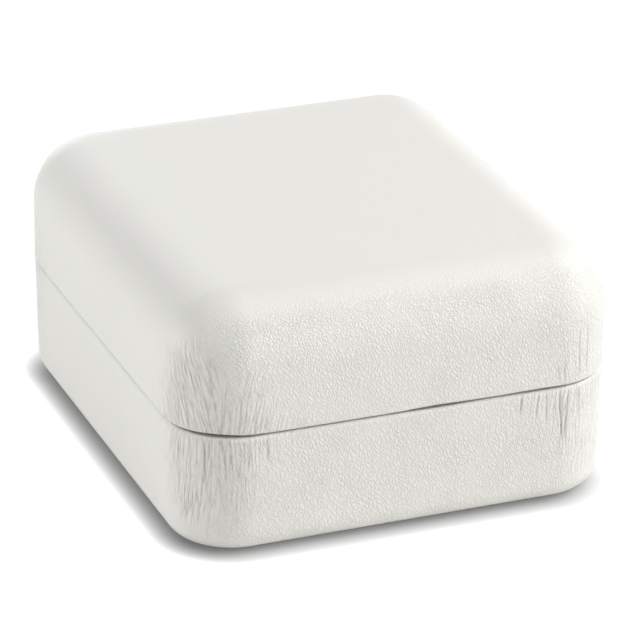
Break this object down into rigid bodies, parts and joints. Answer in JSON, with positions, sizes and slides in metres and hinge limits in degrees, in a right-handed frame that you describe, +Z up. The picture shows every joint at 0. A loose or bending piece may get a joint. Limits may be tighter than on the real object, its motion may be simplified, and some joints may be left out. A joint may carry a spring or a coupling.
{
  "type": "hinged box",
  "caption": "Small white leatherette presentation box with rounded corners, a hinged lid, a split velvet pad in the base and a satin pad in the lid.",
  "frame": {"origin": "centre of the outline on the underside, where the box stands", "axes": "+Z up, -Y towards the opening front, +Y towards the hinge, +X to the right of someone facing the front"},
  "size_m": [0.065, 0.075, 0.037],
  "materials": {
    "leatherette": "pebble-grained white PU leatherette, satin",
    "moulded_plastic": "natural moulded polystyrene",
    "underside_card": "paper-faced card",
    "grey_card": "raw grey board",
    "velvet": "short-pile velvet",
    "satin": "woven satin",
    "foam": "open-cell foam",
    "nickel_plated_steel": "nickel plate",
    "spring_steel": "blue-grey spring steel"
  },
  "bodies": {
    "base": {"base_shell": "moulded_plastic", "base_wrap": "leatherette", "bottom_cover": "underside_card", "base_liner": "velvet", "insert_platform": "grey_card", "insert_foam_front": "foam", "insert_foam_rear": "foam", "insert_velvet_front": "velvet", "insert_velvet_rear": "velvet", "hinge_base_leaf": "nickel_plated_steel", "hinge_pin": "nickel_plated_steel", "snap_spring": "spring_steel", "hinge_base_rivets": "nickel_plated_steel"},
    "lid": {"lid_shell": "moulded_plastic", "lid_wrap": "leatherette", "lid_liner": "velvet", "lid_pad_board": "grey_card", "lid_pad_foam": "foam", "lid_pad_satin": "satin", "hinge_lid_leaf": "nickel_plated_steel", "hinge_lid_rivets": "nickel_plated_steel"}
  },
  "joints": [
    {"name": "lid_hinge", "type": "hinge", "parent": "base", "child": "lid", "pos_m": [0, 0.03584, 0.0183], "axis": [-1, 0, 0], "range_deg": [0, 100], "deforming": ["snap_spring"]}
  ]
}
